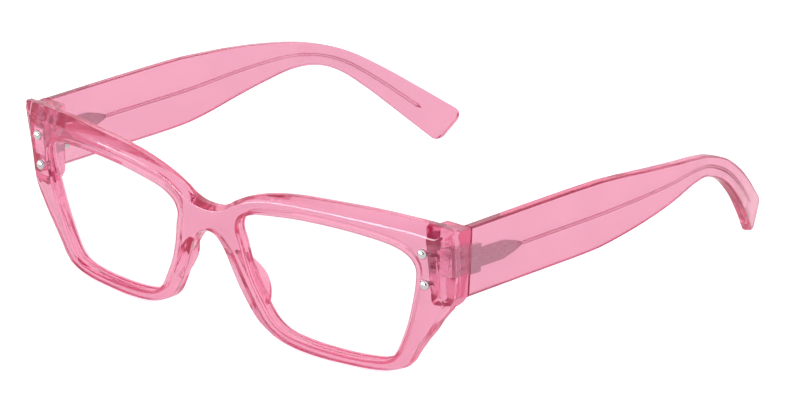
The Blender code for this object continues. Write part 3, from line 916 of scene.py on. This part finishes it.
def acetate_material():
    """Polished pink acetate: tinted, faintly milky, and deeper along its edges."""
    result, shader, tree = new_material("pink_acetate")
    shader.inputs["Transmission Weight"].default_value = 1.0
    shader.inputs["IOR"].default_value = ACETATE_IOR
    cloud = noise(tree, 60.0, 3.0)
    tree.links.new(ramp(tree, cloud, ACETATE_DARK, ACETATE_LIGHT), shader.inputs["Base Color"])
    tree.links.new(spread(tree, noise(tree, 300.0), 0.0, 0.03), shader.inputs["Roughness"])
    bump(tree, shader, noise(tree, 90.0, 1.0), 0.00003, 0.4)
    volume = tree.nodes.new("ShaderNodeVolumeAbsorption")
    volume.inputs["Color"].default_value = DEPTH_COLOUR
    volume.inputs["Density"].default_value = DEPTH_DENSITY
    tree.links.new(volume.outputs["Volume"], tree.nodes["Material Output"].inputs["Volume"])
    milk = tree.nodes.new("ShaderNodeBsdfDiffuse")
    tree.links.new(ramp(tree, cloud, MILK_DARK, MILK_LIGHT), milk.inputs["Color"])
    cloudy = tree.nodes.new("ShaderNodeMixShader")
    cloudy.inputs["Fac"].default_value = MILKINESS
    tree.links.new(shader.outputs["BSDF"], cloudy.inputs[1])
    tree.links.new(milk.outputs["BSDF"], cloudy.inputs[2])
    let_light_through(tree, cloudy, ACETATE_SHADOW)
    return result


def lens_material():
    """Clear coated lens, hardly seen."""
    result, shader, tree = new_material("clear_lens")
    shader.inputs["Transmission Weight"].default_value = 1.0
    shader.inputs["IOR"].default_value = LENS_IOR
    tree.links.new(ramp(tree, noise(tree, 40.0), LENS_DARK, LENS_LIGHT),
                   shader.inputs["Base Color"])
    tree.links.new(spread(tree, noise(tree, 200.0), 0.0, 0.012), shader.inputs["Roughness"])
    bump(tree, shader, noise(tree, 30.0, 0.0), 0.00001, 0.1)
    let_light_through(tree, shader, LENS_SHADOW)
    return result


def steel_material(name, dark, light, roughness, stretch, depth):
    """Steel with fine drawn or turned marks along one direction."""
    result, shader, tree = new_material(name)
    shader.inputs["Metallic"].default_value = 1.0
    marks = noise(tree, 900.0, 4.0, stretch)
    tree.links.new(ramp(tree, marks, dark, light), shader.inputs["Base Color"])
    tree.links.new(spread(tree, marks, *roughness), shader.inputs["Roughness"])
    bump(tree, shader, marks, depth, 0.5)
    return result


def floor_material():
    """Matt white paper, lifted a little to a clean white where it is seen or seen through."""
    result, shader, tree = new_material("white_paper")
    tree.links.new(ramp(tree, noise(tree, 3.0), PAPER_DARK, PAPER_LIGHT),
                   shader.inputs["Base Color"])
    tree.links.new(spread(tree, noise(tree, 200.0), 0.85, 0.95), shader.inputs["Roughness"])
    shader.inputs["Specular IOR Level"].default_value = 0.0
    shader.inputs["Emission Color"].default_value = (1, 1, 1, 1)
    path = tree.nodes.new("ShaderNodeLightPath")
    lift = tree.nodes.new("ShaderNodeMath")
    lift.operation = "MULTIPLY_ADD"
    tree.links.new(path.outputs["Is Transmission Ray"], lift.inputs[0])
    lift.inputs[1].default_value = LIFT_THROUGH
    tree.links.new(spread(tree, path.outputs["Is Camera Ray"], 0.0, LIFT_SEEN), lift.inputs[2])
    tree.links.new(lift.outputs["Value"], shader.inputs["Emission Strength"])
    bump(tree, shader, noise(tree, 1500.0), 0.00002, 0.2)
    return result


# ---------------------------------------------------------------- the pieces

acetate = acetate_material()
clear = lens_material()
polished = steel_material("polished_rivet", dark=(0.6, 0.59, 0.6, 1),
                          light=(0.68, 0.67, 0.68, 1), roughness=(0.05, 0.12),
                          stretch=(1, 1, 1), depth=0.000004)
satin = steel_material("satin_hinge", dark=(0.5, 0.46, 0.47, 1), light=(0.66, 0.62, 0.63, 1),
                       roughness=(0.22, 0.38), stretch=(1, 1, 6), depth=0.00001)
drawn = steel_material("drawn_wire", dark=(0.9, 0.86, 0.88, 1), light=(0.96, 0.93, 0.94, 1),
                       roughness=(0.1, 0.22), stretch=(6, 0.4, 6), depth=0.000006)

front_piece(acetate)
for side, word in ((1, "left"), (-1, "right")):
    temple_name = "temple_" + word
    glass = finish_mesh("lens_glass_" + word, lens(), clear, "front", side)
    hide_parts("lens_" + word)
    for level, height in RIVET_HEIGHTS.items():
        stud = finish_mesh("stud_" + word + "_" + level, rivet(height), polished, "front", side)
        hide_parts("rivet_" + word + "_" + level)
    hinge_half("front_leaf_" + word, front_base(), [], BASE_REACH, 0, satin,
               "front", side, "front_hinge_" + word)
    hinge_half("temple_leaf_" + word, temple_web(), [blade()], WEB_REACH, 1, satin,
               temple_name, side, "temple_hinge_" + word)
    screw = finish_mesh("screw_" + word, hinge_screw(), polished, None, side)
    boolean(screw, [finish_mesh("tool", screw_slot(), polished, None, side)], "DIFFERENCE")
    shade(screw.data)
    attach(screw, "front")
    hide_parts("hinge_screw_" + word)
    arm = finish_mesh("temple_acetate_" + word, temple_body(), acetate, temple_name, side)
    weigh(arm)
    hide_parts(temple_name)
    wire = finish_mesh("core_" + word, core_wire(), drawn, temple_name, side)
    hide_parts("core_wire_" + word)


# ---------------------------------------------------------------- stage, light and camera

def stage():
    """A white floor, soft light all round, two soft boxes and a wide one that only glints."""
    bpy.ops.mesh.primitive_plane_add(size=FLOOR_SIZE, location=(0, 0, -FLOOR_DROP))
    floor = bpy.context.object
    floor.name = "floor"
    floor.data.materials.append(floor_material())
    bpy.context.scene.world = studio()
    lamp("key", *KEY_BOX)
    lamp("back", *BACK_BOX)
    glint = lamp("glint", *GLINT_BOX)
    glint.visible_diffuse = False
    glint.visible_transmission = False


def studio():
    """Surroundings that are white to the eye, with a dark screen in front for rays that bounce."""
    world = bpy.data.worlds.new("studio")
    world.use_nodes = True
    tree = world.node_tree
    background = tree.nodes["Background"]
    background.inputs["Color"].default_value = (1, 1, 1, 1)
    where = tree.nodes.new("ShaderNodeTexCoord")
    facing = tree.nodes.new("ShaderNodeVectorMath")
    facing.operation = "DOT_PRODUCT"
    facing.inputs[1].default_value = DARK_SCREEN
    fade = tree.nodes.new("ShaderNodeMapRange")
    fade.interpolation_type = "SMOOTHSTEP"
    fade.inputs["From Min"].default_value = SCREEN_START
    fade.inputs["From Max"].default_value = SCREEN_FULL
    fade.inputs["To Min"].default_value = 1.0
    fade.inputs["To Max"].default_value = SCREEN_GLOW
    path = tree.nodes.new("ShaderNodeLightPath")
    lift = tree.nodes.new("ShaderNodeMath")
    lift.operation = "MAXIMUM"
    tree.links.new(where.outputs["Generated"], facing.inputs[0])
    tree.links.new(facing.outputs["Value"], fade.inputs["Value"])
    tree.links.new(fade.outputs["Result"], lift.inputs[0])
    tree.links.new(path.outputs["Is Camera Ray"], lift.inputs[1])
    tree.links.new(lift.outputs["Value"], background.inputs["Strength"])
    return world


def lamp(name, place, size, power):
    """A rectangular soft box that faces the glasses, returned for its ray switches."""
    data = bpy.data.lights.new(name, "AREA")
    data.shape = "RECTANGLE"
    data.size, data.size_y = size
    data.energy = power
    item = bpy.data.objects.new(name, data)
    item.location = place
    item.rotation_euler = (-item.location).to_track_quat("-Z", "Y").to_euler()
    bpy.context.collection.objects.link(item)
    return item


def camera():
    """A long lens in front, above and to the wearer's left."""
    azimuth = math.radians(AZIMUTH)
    elevation = math.radians(ELEVATION)
    target = Vector(TARGET) * MM
    back = Vector((math.sin(azimuth) * math.cos(elevation),
                   -math.cos(azimuth) * math.cos(elevation), math.sin(elevation)))
    data = bpy.data.cameras.new("camera")
    data.lens = LENS_LENGTH
    data.sensor_width = 36.0
    data.clip_start = 0.05
    data.clip_end = 30.0
    item = bpy.data.objects.new("camera", data)
    item.location = target + back * DISTANCE
    item.rotation_euler = (math.pi / 2 - elevation, 0, azimuth)
    bpy.context.collection.objects.link(item)
    bpy.context.scene.camera = item


stage()
camera()
bpy.context.scene.view_settings.view_transform = "Standard"
